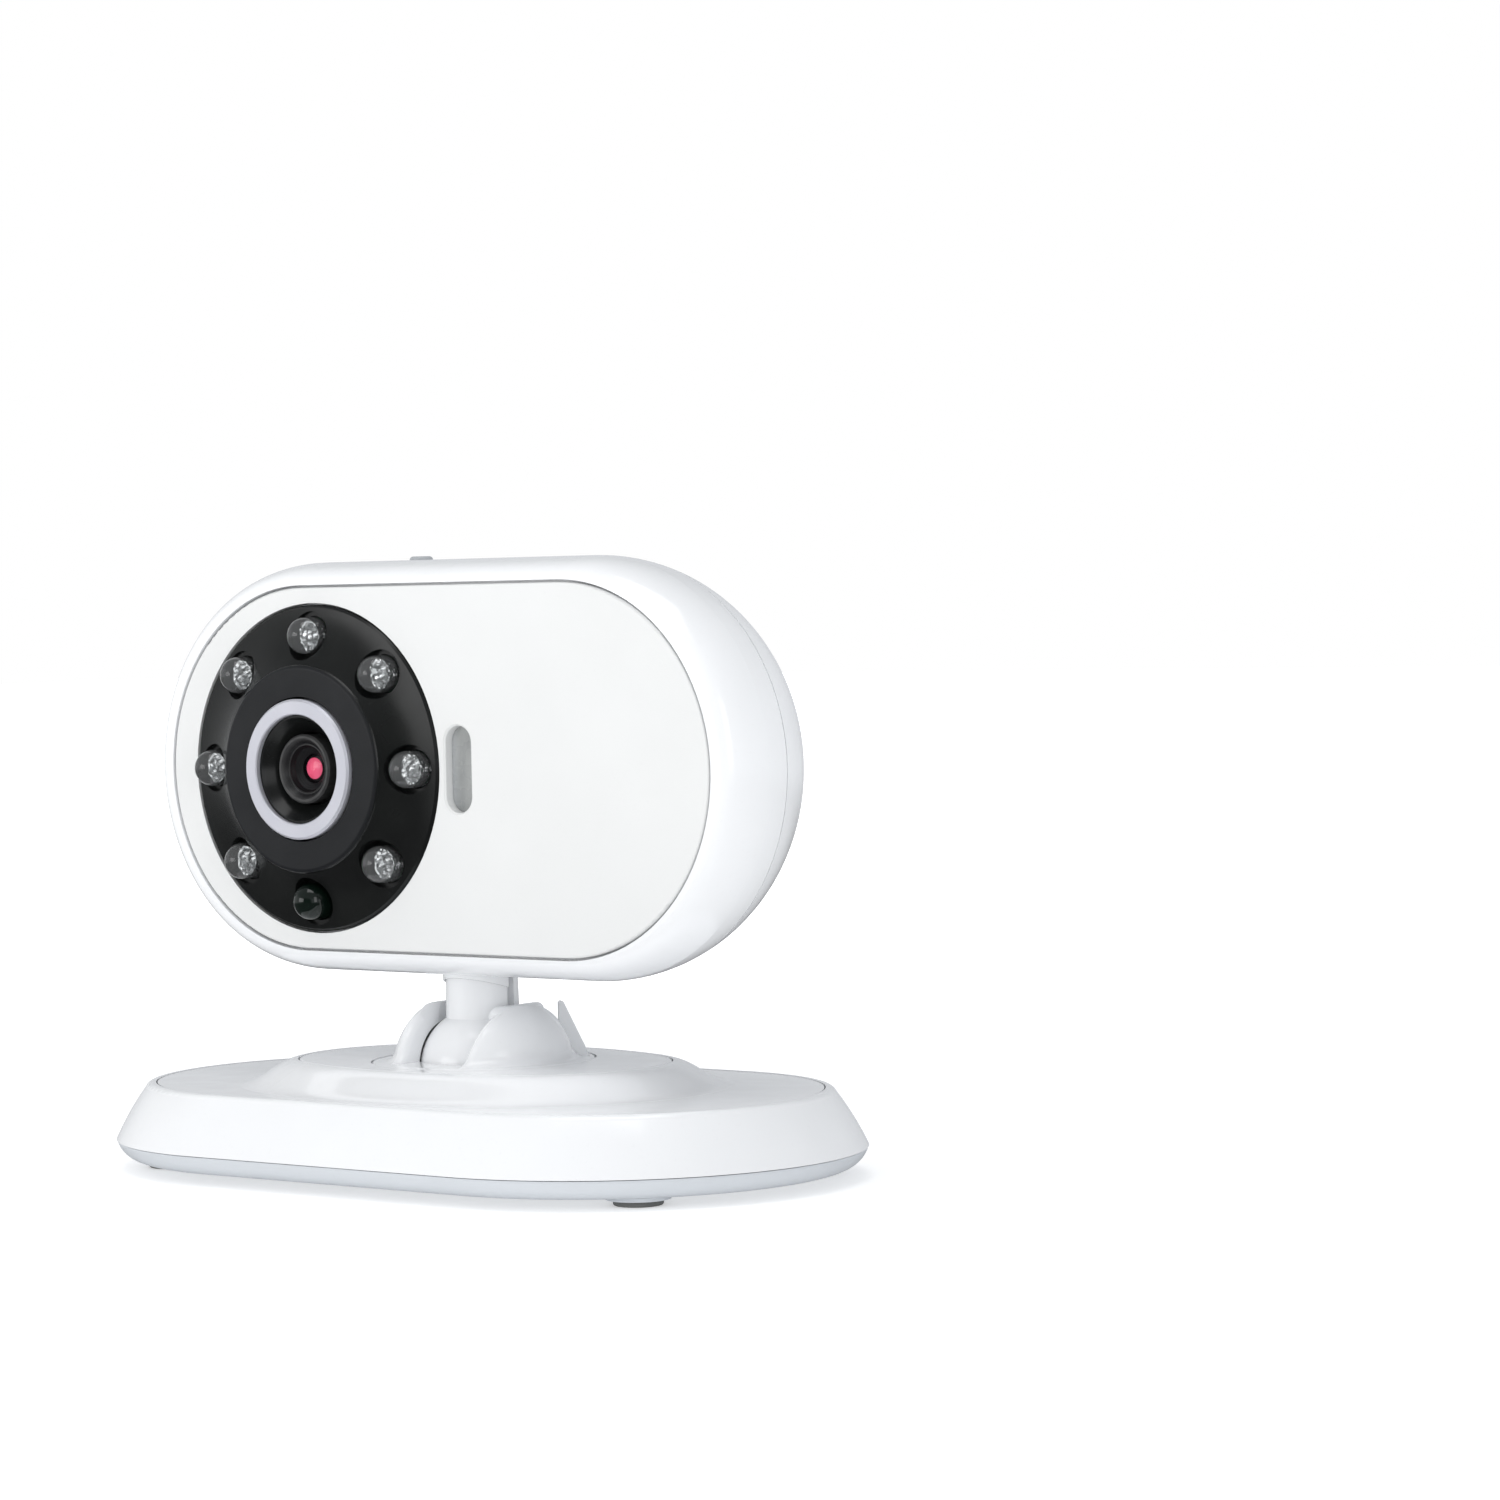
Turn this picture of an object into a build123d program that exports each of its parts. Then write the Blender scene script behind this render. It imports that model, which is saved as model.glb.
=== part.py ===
from build123d import *
import os
from math import asin, cos, degrees, pi, radians, sin, sqrt

# Baby monitor camera: an oval table base, a ball socket that turns in it, and a rounded camera head.
# Row frame: origin on the surface under the centre of the base, +Z up, the lens looks along -Y.
# All sizes are in millimetres.

os.makedirs("parts", exist_ok=True)

# ------------------------------------------------------------------ driving dimensions
# Base
BASE_HALF_STRAIGHT = 22.8
BASE_RADIUS = 33.4
FOOT_HEIGHT = 1.3
FOOT_RADIUS = 3.25
FOOT_SINK = 0.6
FOOT_X = 41.3
FOOT_Y = 18.0
FOOT_BOSS_RADIUS = 4.2
FOOT_BOSS_DROP = 0.5
DECK_SCREW_X = 36.4
DECK_SCREW_Y = 13.0
SEAM_Z = 4.0
SEAM_GAP = 0.12
SKIRT_TOP_Z = 11.8
SKIRT_WALL = 1.8
FLOOR_TOP_Z = 3.1
DECK_INSET = 5.75
DECK_UNDER_Z = 9.9
DECK_TOP_Z = 11.75
HUB_HALF_LENGTH = 28.2
HUB_HALF_WIDTH = 18.4
HUB_END_RADIUS = 16.35
HUB_TOP_Z = 15.05
HUB_FLOOR_Z = 13.9
HUB_GAP = 0.18
FLARE_WIDTH = 8.0
FLARE_STEPS = 5

# Turret
RING_RADIUS = 15.0
RING_GAP = 0.2
BARREL_RADIUS = 12.8
RUNNING_GAP = 0.07
COLLAR_RADIUS = 15.2
COLLAR_END_Z = 6.2
BARREL_END_Z = 5.2
RETAINER_RADIUS = 14.6
RETAINER_Z = 3.9
CHEEK_TOP_Z = 22.65
RING_TOP_Z = 15.1
SLOT_HALF_BOTTOM = 5.2
SLOT_HALF_TOP = 6.3
CHEEK_EDGE = 1.0
FIN_SPAN = 8.0
FIN_STARTS = (44.0, 128.0)

# Ball and neck
BALL_Z = 13.6
BALL_RADIUS = 8.7
SOCKET_RADIUS = 8.95
BALL_FLAT_Z = 6.9
NECK_RADIUS_LOW = 4.96
NECK_RADIUS_HIGH = 4.75
NECK_TOP_Z = 30.7
NECK_SPLIT_Y = 0.2
NECK_GROOVE = 1.4
NECK_GROOVE_DEPTH = 0.9
STEM_FLANGE_TOP_Z = 33.7

# Head
HEAD_Z = 54.5
PANEL_Y = -9.6
PANEL_HALF_STRAIGHT = 22.9
PANEL_RADIUS = 24.5
PANEL_THICK = 1.6
PANEL_GAP = 0.34
SHELL_HALF_STRAIGHT = 24.0
SHELL_EDGE_RADIUS = 24.8
SHELL_RADIUS = 27.9
SHELL_WIDEST = 7.0
SHELL_WALL = 2.0
SHELL_SEAM = 11.0
SHELL_GROOVE = 0.2
SHELL_GROOVE_DEPTH = 0.5
BACK_ARC = 21.0
BACK_ARC_END = 60.0
BACK_CORNER = 8.0
LEDGE_BACK = 3.4
LENS_X = -20.6
BEZEL_RADIUS = 22.15
COLLAR_TOP = 3.3
LED_CIRCLE = 18.0
LED_RADIUS = 2.5
LED_COUNT = 8
PILL_X = 5.0
PILL_WIDTH = 4.4
PILL_HEIGHT = 11.5
SCREW_X = 40.0
SCREW_Y = 12.5
BUTTON_X = -12.6
BUTTON_Y = 3.8
BUTTON_RADIUS = 1.6
BUTTON_TOP_Z = 82.95

# Rear fittings
SPEAKER_X = 22.0
SPEAKER_RADIUS = 12.0
JACK_Y = -7.5
SWITCH_Y = 7.0
SWITCH_TRAVEL = 3.0
MIC_X = -20.6
MIC_Y = -6.0

# Lens, lamps and boards: places along the lens axis are measured forward from the panel face
TRIM_RADIUS = 9.5
TRIM_TOP = 4.0
TRIM_GAP = 0.3
LENS_BORE = 4.95
LENS_BARREL = 4.7
BARREL_BORE = 2.0
GLASS_RADIUS = 1.95
BEZEL_TUBE_END = -8.0
LED_HOLE = 3.3
LED_SEAT = -4.7
LED_DOME = 1.5
SENSOR_BOARD_FRONT = -16.0
SENSOR_BOARD_BACK = -17.0
BOARD_FRONT = -10.5
BOARD_THICK = 1.2
BOARD_BACK = BOARD_FRONT - BOARD_THICK
PILL_INSET = 1.5
BUTTON_FLANGE_Z = 77.2
BUTTON_TRAVEL = 0.5
JACK_NOSE = 3.4
JACK_BORE = 2.8
JACK_PIN = 1.0
JACK_DEPTH = 9.0
SWITCH_PLATE = -21.0
SWITCH_PILLARS = [(-8.8, SWITCH_Y), (8.8, SWITCH_Y)]

BACK_CENTRE_R = SHELL_RADIUS - BACK_ARC
BACK_DEPTH = (
    SHELL_WIDEST + BACK_ARC * sin(radians(BACK_ARC_END)) + BACK_CORNER * (1 - sin(radians(BACK_ARC_END)))
)
BACK_INNER = BACK_DEPTH - SHELL_WALL
SEAM_ANGLE = degrees(asin((SHELL_SEAM - SHELL_WIDEST) / BACK_ARC))

FEET = [(x, y) for x in (-FOOT_X, FOOT_X) for y in (-FOOT_Y, FOOT_Y)]
DECK_SCREWS = [(x, y) for x in (-DECK_SCREW_X, DECK_SCREW_X) for y in (-DECK_SCREW_Y, DECK_SCREW_Y)]
HOUSING_SCREWS = [(x, y) for x in (-SCREW_X, SCREW_X) for y in (-SCREW_Y, SCREW_Y)]
BOARD_POSTS = [(9.0, 12.0), (29.0, 12.0), (29.0, -10.0)]


# ------------------------------------------------------------------ helpers
def face_plane(forward=0.0):
    """Plane parallel to the front panel and `forward` mm in front of it, seen from the front."""
    return Plane(origin=(0, PANEL_Y - forward, HEAD_Z), x_dir=(1, 0, 0), z_dir=(0, -1, 0))


def seen_from_behind(forward):
    """The same plane as face_plane, but looked at from the back, so its x axis runs the other way."""
    return Plane(origin=(0, PANEL_Y - forward, HEAD_Z), x_dir=(-1, 0, 0), z_dir=(0, 1, 0))


LENS_SECTION = Plane(origin=(LENS_X, PANEL_Y, HEAD_Z), x_dir=(1, 0, 0), z_dir=(0, 0, -1))
LENS_AXIS = Axis((LENS_X, PANEL_Y, HEAD_Z), (0, -1, 0))


def turned(points):
    """Ring or tube about the lens axis, from its (radius, forward) outline."""
    with BuildPart() as solid:
        with BuildSketch(LENS_SECTION):
            with BuildLine():
                Polyline(*points, close=True)
            make_face()
        revolve(axis=LENS_AXIS)
    return solid.part


def block(centre, size, back, front, corner):
    """Flat rectangular piece parallel to the panel, between two places along the lens axis."""
    with BuildPart() as slab:
        with BuildSketch(face_plane(back)):
            with Locations(centre):
                RectangleRounded(*size, corner)
        extrude(amount=front - back)
    return slab.part


def dome_lamps(spots):
    """Round-nosed 5 mm lamps with a flange, standing on the lamp board."""
    with BuildPart() as lamps:
        with BuildSketch(face_plane(LED_SEAT)):
            with Locations(*spots):
                Circle(LED_RADIUS)
        extrude(amount=LED_DOME - LED_SEAT)
        with BuildSketch(face_plane(LED_SEAT)):
            with Locations(*spots):
                Circle(LED_RADIUS + 0.3)
        extrude(amount=1.0)
        with Locations(*[(x, PANEL_Y - LED_DOME, HEAD_Z + y) for x, y in spots]):
            Sphere(LED_RADIUS)
    return lamps.part


def racetrack(section, half_straight, base=Plane.XY):
    """Carry a half section round a stadium: two straight runs and two half turns."""
    with BuildPart() as ring:
        for side in (1, -1):
            corner = (side * half_straight, 0, 0)
            end_plane = Plane(origin=corner, x_dir=(0, -side, 0), z_dir=(-side, 0, 0))
            with BuildSketch(end_plane):
                add(section)
            extrude(amount=2 * half_straight)
            with BuildSketch(end_plane):
                add(section)
            revolve(axis=Axis(corner, (0, 0, 1)), revolution_arc=180)
    return base.location * ring.part


def oval(height, grow=0.0):
    """Hub outline, `grow` mm larger all round, at a height: two end arcs and two bowed sides."""
    half_length = HUB_HALF_LENGTH + grow
    half_width = HUB_HALF_WIDTH + grow
    end_radius = HUB_END_RADIUS + grow
    end_x = half_length - end_radius
    side_radius = (end_x**2 + half_width**2 - end_radius**2) / (2 * (half_width - end_radius))
    reach = side_radius / (side_radius - end_radius)
    touch_x = end_x * reach
    touch_y = (half_width - side_radius) * (1 - reach)
    with BuildSketch(Plane.XY.offset(height)) as outline:
        with BuildLine():
            ThreePointArc((touch_x, -touch_y), (half_length, 0), (touch_x, touch_y))
            ThreePointArc((touch_x, touch_y), (0, half_width), (-touch_x, touch_y))
            ThreePointArc((-touch_x, touch_y), (-half_length, 0), (-touch_x, -touch_y))
            ThreePointArc((-touch_x, -touch_y), (0, -half_width), (touch_x, -touch_y))
        make_face()
    return outline.sketch


def stadium(plane, half_straight, radius):
    """Stadium face on a plane."""
    with BuildSketch(plane) as outline:
        SlotOverall(2 * (half_straight + radius), 2 * radius)
    return outline.sketch


def screw(plane, spots, head_radius, head_height, shank_radius, shank_length):
    """Pan-head screws: heads rise along the plane's normal and shanks run the other way."""
    with BuildPart() as screws:
        with BuildSketch(plane):
            with Locations(*spots):
                Circle(head_radius)
        extrude(amount=head_height)
        rims = screws.faces().filter_by(Plane(plane.origin, z_dir=plane.z_dir)).sort_by(
            Axis(plane.origin, plane.z_dir)
        )[-len(spots):]
        fillet(rims.edges(), head_height * 0.4)
        with BuildSketch(plane.offset(head_height)):
            with Locations(*spots):
                SlotOverall(head_radius * 1.3, head_radius * 0.3)
                SlotOverall(head_radius * 1.3, head_radius * 0.3, rotation=90)
        extrude(amount=-head_height * 0.45, mode=Mode.SUBTRACT)
        with BuildSketch(plane):
            with Locations(*spots):
                Circle(shank_radius)
        extrude(amount=-shank_length)
    return screws.part


def led_spots(indices):
    """Places on the lamp circle, counted anticlockwise from the right."""
    step = 2 * pi / LED_COUNT
    return [(LENS_X + LED_CIRCLE * cos(i * step), LED_CIRCLE * sin(i * step)) for i in indices]


SENSOR_SPOT = led_spots([6])
LAMP_SPOTS = led_spots([0, 1, 2, 3, 4, 5, 7])

# ------------------------------------------------------------------ base
# Floor tray: rounded edge, four bosses for the feet, screw pillars and two stops for the turret's tab.
with BuildSketch() as tray_section:
    with BuildLine():
        Polyline((0, FOOT_HEIGHT), (29.8, FOOT_HEIGHT))
        ThreePointArc((29.8, FOOT_HEIGHT), (32.1, 2.2), (33.2, 3.7))
        Polyline(
            (33.2, 3.7),
            (33.2, SEAM_Z),
            (30.6, SEAM_Z),
            (30.6, 5.0),
            (29.6, 5.0),
            (29.6, FLOOR_TOP_Z),
            (0, FLOOR_TOP_Z),
            (0, FOOT_HEIGHT),
        )
    make_face()

with BuildPart() as base_bottom:
    add(racetrack(tray_section.sketch, BASE_HALF_STRAIGHT))
    with BuildSketch(Plane.XY.offset(FLOOR_TOP_Z)):
        with Locations(*DECK_SCREWS):
            Circle(3.6)
    extrude(amount=2.4)
    with BuildSketch(Plane.XY.offset(FOOT_HEIGHT - FOOT_BOSS_DROP)):
        with Locations(*FEET):
            Circle(FOOT_BOSS_RADIUS)
    extrude(amount=FOOT_BOSS_DROP)
    with BuildSketch(Plane.XY.offset(FLOOR_TOP_Z)):
        with PolarLocations(16.6, 2, start_angle=-15, angular_range=210, endpoint=True):
            Rectangle(1.8, 4.0)
    extrude(amount=2.2)
    with BuildSketch(Plane.XY.offset(FOOT_HEIGHT - FOOT_BOSS_DROP)):
        with Locations(*FEET):
            Circle(FOOT_RADIUS + 0.1)
    extrude(amount=FOOT_BOSS_DROP + FOOT_SINK + 0.05, mode=Mode.SUBTRACT)
    with BuildSketch(Plane.XY.offset(FOOT_HEIGHT)):
        with Locations(*DECK_SCREWS):
            Circle(2.3)
    extrude(amount=2.3, mode=Mode.SUBTRACT)
    with BuildSketch(Plane.XY.offset(FOOT_HEIGHT)):
        with Locations(*DECK_SCREWS):
            Circle(1.2)
    extrude(amount=5.0, mode=Mode.SUBTRACT)
base_bottom.part.label = "base_bottom"
export_step(base_bottom.part, "parts/base_bottom.step")

# Skirt: leans in from the seam, rolls over at the rim and carries the deck.
with BuildSketch() as skirt_section:
    with BuildLine():
        ThreePointArc((33.4, SEAM_Z + SEAM_GAP), (31.3, 8.1), (29.25, 11.15))
        ThreePointArc((29.25, 11.15), (28.85, 11.62), (28.2, SKIRT_TOP_Z))
        Polyline(
            (28.2, SKIRT_TOP_Z),
            (27.85, SKIRT_TOP_Z),
            (27.85, 9.8),
            (26.0, 9.8),
            (26.0, 8.4),
            (28.9, 8.4),
            (31.45, SEAM_Z + SEAM_GAP),
            (33.4, SEAM_Z + SEAM_GAP),
        )
    make_face()

with BuildPart() as base_skirt:
    add(racetrack(skirt_section.sketch, BASE_HALF_STRAIGHT))
base_skirt.part.label = "base_skirt"
export_step(base_skirt.part, "parts/base_skirt.step")

# Deck: flat plate that sweeps up in an S to the raised hub, with the bearing collar hanging under it.
DECK_RADIUS = BASE_RADIUS - DECK_INSET
HUB_RISE = HUB_TOP_Z - DECK_TOP_Z

with BuildPart() as hub_flare:
    flare_sections = []
    for step in range(FLARE_STEPS):
        climb = step / (FLARE_STEPS - 1)
        rise = HUB_RISE * climb**2 * (3 - 2 * climb)
        flare_sections.append(oval(DECK_TOP_Z + rise, FLARE_WIDTH * (1 - climb)))
    loft(flare_sections)

with BuildPart() as base_deck:
    with BuildSketch(Plane.XY.offset(DECK_UNDER_Z)):
        SlotOverall(2 * (BASE_HALF_STRAIGHT + DECK_RADIUS), 2 * DECK_RADIUS)
    extrude(amount=DECK_TOP_Z - DECK_UNDER_Z)
    add(hub_flare.part)
    extrude(oval(HUB_FLOOR_Z, 0.0), amount=HUB_RISE, mode=Mode.SUBTRACT)
    extrude(oval(DECK_UNDER_Z, -1.0), amount=2.1, mode=Mode.SUBTRACT)
    with BuildSketch(Plane.XY.offset(COLLAR_END_Z)):
        Circle(COLLAR_RADIUS)
    extrude(amount=HUB_FLOOR_Z - COLLAR_END_Z)
    with BuildSketch(Plane.XY.offset(COLLAR_END_Z)):
        Circle(BARREL_RADIUS + RUNNING_GAP)
    extrude(amount=HUB_TOP_Z - COLLAR_END_Z, mode=Mode.SUBTRACT)
    with BuildSketch(Plane.XY.offset(5.6)):
        with Locations(*DECK_SCREWS):
            Circle(3.0)
    extrude(amount=DECK_UNDER_Z - 5.6)
    with BuildSketch(Plane.XY.offset(5.6)):
        with Locations(*DECK_SCREWS):
            Circle(1.0)
    extrude(amount=4.6, mode=Mode.SUBTRACT)
base_deck.part.label = "base_deck"
export_step(base_deck.part, "parts/base_deck.step")

# Hub cap: flat oval trim plate round the turret, let into the top of the hub.
with BuildPart() as hub_cap:
    extrude(oval(HUB_FLOOR_Z, -HUB_GAP), amount=HUB_TOP_Z - HUB_FLOOR_Z)
    fillet(hub_cap.faces().sort_by(Axis.Z)[-1].edges(), 0.3)
    with BuildSketch(Plane.XY.offset(HUB_FLOOR_Z)):
        Circle(RING_RADIUS + RING_GAP)
    extrude(amount=HUB_RISE, mode=Mode.SUBTRACT)
hub_cap.part.label = "hub_cap"
export_step(hub_cap.part, "parts/hub_cap.step")

# Ballast: steel plate that keeps the stand down, open round the turret and the screw pillars.
with BuildPart() as ballast_plate:
    with BuildSketch(Plane.XY.offset(FLOOR_TOP_Z)):
        SlotOverall(2 * 44.0, 2 * 22.0)
        Circle(18.2, mode=Mode.SUBTRACT)
        with Locations(*DECK_SCREWS):
            Circle(3.9, mode=Mode.SUBTRACT)
    extrude(amount=3.0)
ballast_plate.part.label = "ballast_plate"
export_step(ballast_plate.part, "parts/ballast_plate.step")

with BuildPart() as rubber_feet:
    with BuildSketch():
        with Locations(*FEET):
            Circle(FOOT_RADIUS)
    extrude(amount=FOOT_HEIGHT + FOOT_SINK)
    fillet(rubber_feet.faces().filter_by(Axis.Z).group_by(Axis.Z)[0].edges(), 0.35)
rubber_feet.part.label = "rubber_feet"
export_step(rubber_feet.part, "parts/rubber_feet.step")

# Deck screws come up through the tray, one beside each foot.
SCREW_SEAT_Z = 3.6
base_screws = screw(
    Plane(origin=(0, 0, SCREW_SEAT_Z), x_dir=(1, 0, 0), z_dir=(0, 0, -1)), DECK_SCREWS, 2.1, 1.4, 0.95, 5.6
)
base_screws.label = "base_screws"
export_step(base_screws, "parts/base_screws.step")

# Wave washer that gives the turret its drag.
with BuildPart() as pan_washer:
    with BuildSketch(Plane.XY.offset(BARREL_END_Z + 0.15)):
        Circle(14.9)
        Circle(13.05, mode=Mode.SUBTRACT)
    extrude(amount=0.75)
pan_washer.part.label = "pan_washer"
export_step(pan_washer.part, "parts/pan_washer.step")

# ------------------------------------------------------------------ turret
SOCKET_LIP_Z = 19.9
CHAMBER_RADIUS = sqrt(SOCKET_RADIUS**2 - 4.2**2)
LIP_RADIUS = sqrt(SOCKET_RADIUS**2 - (SOCKET_LIP_Z - BALL_Z) ** 2)
SEAT_EDGE = sqrt(SOCKET_RADIUS**2 - (RING_TOP_Z - BALL_Z) ** 2)

RETAINER_SCREWS = [(10.4 * cos(radians(a)), 10.4 * sin(radians(a))) for a in (30, 150, 270)]

# Two cheeks, one each side of a slot that runs front to back and lets the neck tilt.
with BuildPart() as cheeks:
    with BuildSketch(Plane.XZ):
        with BuildLine():
            Line((4.5, RING_TOP_Z), (13.6, RING_TOP_Z))
            foot_arc = TangentArc((13.6, RING_TOP_Z), (11.9, 16.4), tangent=(-1, 0))
            TangentArc(foot_arc @ 1, (7.95, CHEEK_TOP_Z - 0.35), tangent=foot_arc % 1)
            ThreePointArc((7.95, CHEEK_TOP_Z - 0.35), (7.55, CHEEK_TOP_Z - 0.08), (7.1, CHEEK_TOP_Z))
            Polyline((7.1, CHEEK_TOP_Z), (4.5, CHEEK_TOP_Z), (4.5, RING_TOP_Z))
        make_face()
    revolve(axis=Axis.Z)
    with BuildSketch(Plane.XZ):
        with BuildLine():
            Polyline(
                (-SLOT_HALF_TOP, CHEEK_TOP_Z + 1),
                (-SLOT_HALF_BOTTOM, RING_TOP_Z),
                (SLOT_HALF_BOTTOM, RING_TOP_Z),
                (SLOT_HALF_TOP, CHEEK_TOP_Z + 1),
                close=True,
            )
        make_face()
    extrude(amount=RING_RADIUS, both=True, mode=Mode.SUBTRACT)
    long_edges = cheeks.edges().filter_by(
        lambda e: e.bounding_box().size.Z > 1.2 and abs(e.center().Y) > 3 and abs(e.center().X) < 7.5
    )
    fillet(long_edges, CHEEK_EDGE)
    with Locations((0, 0, BALL_Z)):
        Sphere(SOCKET_RADIUS, mode=Mode.SUBTRACT)
    with BuildSketch(Plane.XY.offset(SOCKET_LIP_Z)):
        Circle(LIP_RADIUS)
    extrude(amount=4.0, mode=Mode.SUBTRACT)

# Socket turret: bearing barrel and cover ring under the cheeks, and two fins behind them.
with BuildPart() as socket_turret:
    with BuildSketch(Plane.XZ):
        with BuildLine():
            Polyline(
                (SEAT_EDGE, RING_TOP_Z),
                (13.6, RING_TOP_Z),
                (14.85, 15.0),
                (RING_RADIUS, 14.85),
                (RING_RADIUS, HUB_FLOOR_Z + 0.1),
                (BARREL_RADIUS, HUB_FLOOR_Z + 0.1),
                (BARREL_RADIUS, BARREL_END_Z),
                (CHAMBER_RADIUS, BARREL_END_Z),
                (CHAMBER_RADIUS, BALL_Z - 4.2),
            )
            ThreePointArc((CHAMBER_RADIUS, BALL_Z - 4.2), (SOCKET_RADIUS, BALL_Z), (SEAT_EDGE, RING_TOP_Z))
        make_face()
    revolve(axis=Axis.Z)
    add(cheeks.part)
    for fin_start in FIN_STARTS:
        start = radians(fin_start)
        fin_plane = Plane(
            origin=(0, 0, 0), x_dir=(cos(start), sin(start), 0), z_dir=(sin(start), -cos(start), 0)
        )
        with BuildSketch(fin_plane):
            with BuildLine():
                Polyline((10.3, 14.6), (14.4, 14.6), (14.4, 15.05))
                ThreePointArc((14.4, 15.05), (14.1, 15.35), (13.9, 16.0))
                Polyline((13.9, 16.0), (10.95, 22.4), (10.6, 22.55), (10.3, 22.3), (10.3, 14.6))
            make_face()
        revolve(axis=Axis.Z, revolution_arc=FIN_SPAN)
    with BuildSketch(Plane.XY.offset(BARREL_END_Z)):
        with Locations(*RETAINER_SCREWS):
            Circle(0.85)
    extrude(amount=5.0, mode=Mode.SUBTRACT)
socket_turret.part.label = "socket_turret"
export_step(socket_turret.part, "parts/socket_turret.step")

# Pressure pad: ring with a spherical seat that bears on the underside of the ball.
PAD_TOP_Z = 9.0
with BuildPart() as pressure_pad:
    with BuildSketch(Plane.XY.offset(6.5)):
        Circle(CHAMBER_RADIUS - 0.1)
        Circle(4.6, mode=Mode.SUBTRACT)
    extrude(amount=PAD_TOP_Z - 6.5)
    with Locations((0, 0, BALL_Z)):
        Sphere(BALL_RADIUS + 0.08, mode=Mode.SUBTRACT)
pressure_pad.part.label = "pressure_pad"
export_step(pressure_pad.part, "parts/pressure_pad.step")

# Wave spring under the pad, drawn as the closed ring it fills when it is squeezed.
with BuildPart() as pad_spring:
    with BuildSketch(Plane.XY.offset(BARREL_END_Z + 0.05)):
        Circle(7.6)
        Circle(5.4, mode=Mode.SUBTRACT)
    extrude(amount=1.2)
pad_spring.part.label = "pad_spring"
export_step(pad_spring.part, "parts/pad_spring.step")

# Retainer: disc under the barrel that keeps the turret in, with the tab that meets the pan stops.
with BuildPart() as turret_retainer:
    with BuildSketch(Plane.XY.offset(RETAINER_Z)):
        Circle(RETAINER_RADIUS)
        with Locations((0, RETAINER_RADIUS + 0.4)):
            Rectangle(4.0, 4.0)
        Circle(4.0, mode=Mode.SUBTRACT)
        with Locations(*RETAINER_SCREWS):
            Circle(0.95, mode=Mode.SUBTRACT)
    extrude(amount=BARREL_END_Z - RETAINER_Z)
    with BuildSketch(Plane.XY.offset(RETAINER_Z)):
        with Locations(*RETAINER_SCREWS):
            Circle(1.9)
    extrude(amount=0.65, mode=Mode.SUBTRACT)
turret_retainer.part.label = "turret_retainer"
export_step(turret_retainer.part, "parts/turret_retainer.step")

TURRET_SCREW_SEAT = Plane(origin=(0, 0, RETAINER_Z + 0.65), x_dir=(1, 0, 0), z_dir=(0, 0, -1))
turret_screws = screw(TURRET_SCREW_SEAT, [(x, -y) for x, y in RETAINER_SCREWS], 1.7, 0.6, 0.8, 4.6)
turret_screws.label = "turret_screws"
export_step(turret_screws, "parts/turret_screws.step")


# ------------------------------------------------------------------ ball and neck
# The ball and neck are one shape, parted front to back, with a shadow groove along the parting.
STEM_SCREW_SPOTS = [(-5.2, 32.2), (5.2, 32.2)]

with BuildPart() as stem_whole:
    with Locations((0, 0, BALL_Z)):
        Sphere(BALL_RADIUS)
    with BuildSketch(Plane.XZ):
        with BuildLine():
            Polyline(
                (0, BALL_Z),
                (NECK_RADIUS_LOW, BALL_Z),
                (NECK_RADIUS_LOW, BALL_Z + 7.1),
                (NECK_RADIUS_HIGH, NECK_TOP_Z),
                (0, NECK_TOP_Z),
                close=True,
            )
        make_face()
    revolve(axis=Axis.Z)
    with BuildSketch(Plane.XY):
        Circle(BALL_RADIUS)
    extrude(amount=BALL_FLAT_Z, mode=Mode.SUBTRACT)
    with BuildSketch(Plane.XY.offset(NECK_TOP_Z)):
        RectangleRounded(15.0, 9.0, 1.0)
    extrude(amount=STEM_FLANGE_TOP_Z - NECK_TOP_Z)
    with BuildSketch(Plane.XY.offset(BALL_Z + 7.9)):
        with Locations((NECK_RADIUS_HIGH, NECK_SPLIT_Y), (-NECK_RADIUS_HIGH, NECK_SPLIT_Y)):
            Rectangle(2 * NECK_GROOVE_DEPTH, NECK_GROOVE)
    extrude(amount=NECK_TOP_Z - BALL_Z - 8.6, mode=Mode.SUBTRACT)
    with BuildSketch(Plane.XZ.offset(-6.0)):
        with Locations(*STEM_SCREW_SPOTS):
            Circle(1.0)
    extrude(amount=12.0, mode=Mode.SUBTRACT)

STEM_SPLIT = Plane.XZ.offset(-NECK_SPLIT_Y)
with BuildPart() as stem_front:
    add(stem_whole.part)
    split(bisect_by=STEM_SPLIT, keep=Keep.TOP)
stem_front.part.label = "stem_front"
export_step(stem_front.part, "parts/stem_front.step")

with BuildPart() as stem_rear:
    add(stem_whole.part)
    split(bisect_by=STEM_SPLIT, keep=Keep.BOTTOM)
stem_rear.part.label = "stem_rear"
export_step(stem_rear.part, "parts/stem_rear.step")

STEM_BACK = Plane(origin=(0, 4.5, 0), x_dir=(-1, 0, 0), z_dir=(0, 1, 0))
stem_screws = screw(STEM_BACK, STEM_SCREW_SPOTS, 1.45, 1.0, 0.9, 7.5)
stem_screws.label = "stem_screws"
export_step(stem_screws, "parts/stem_screws.step")

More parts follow.
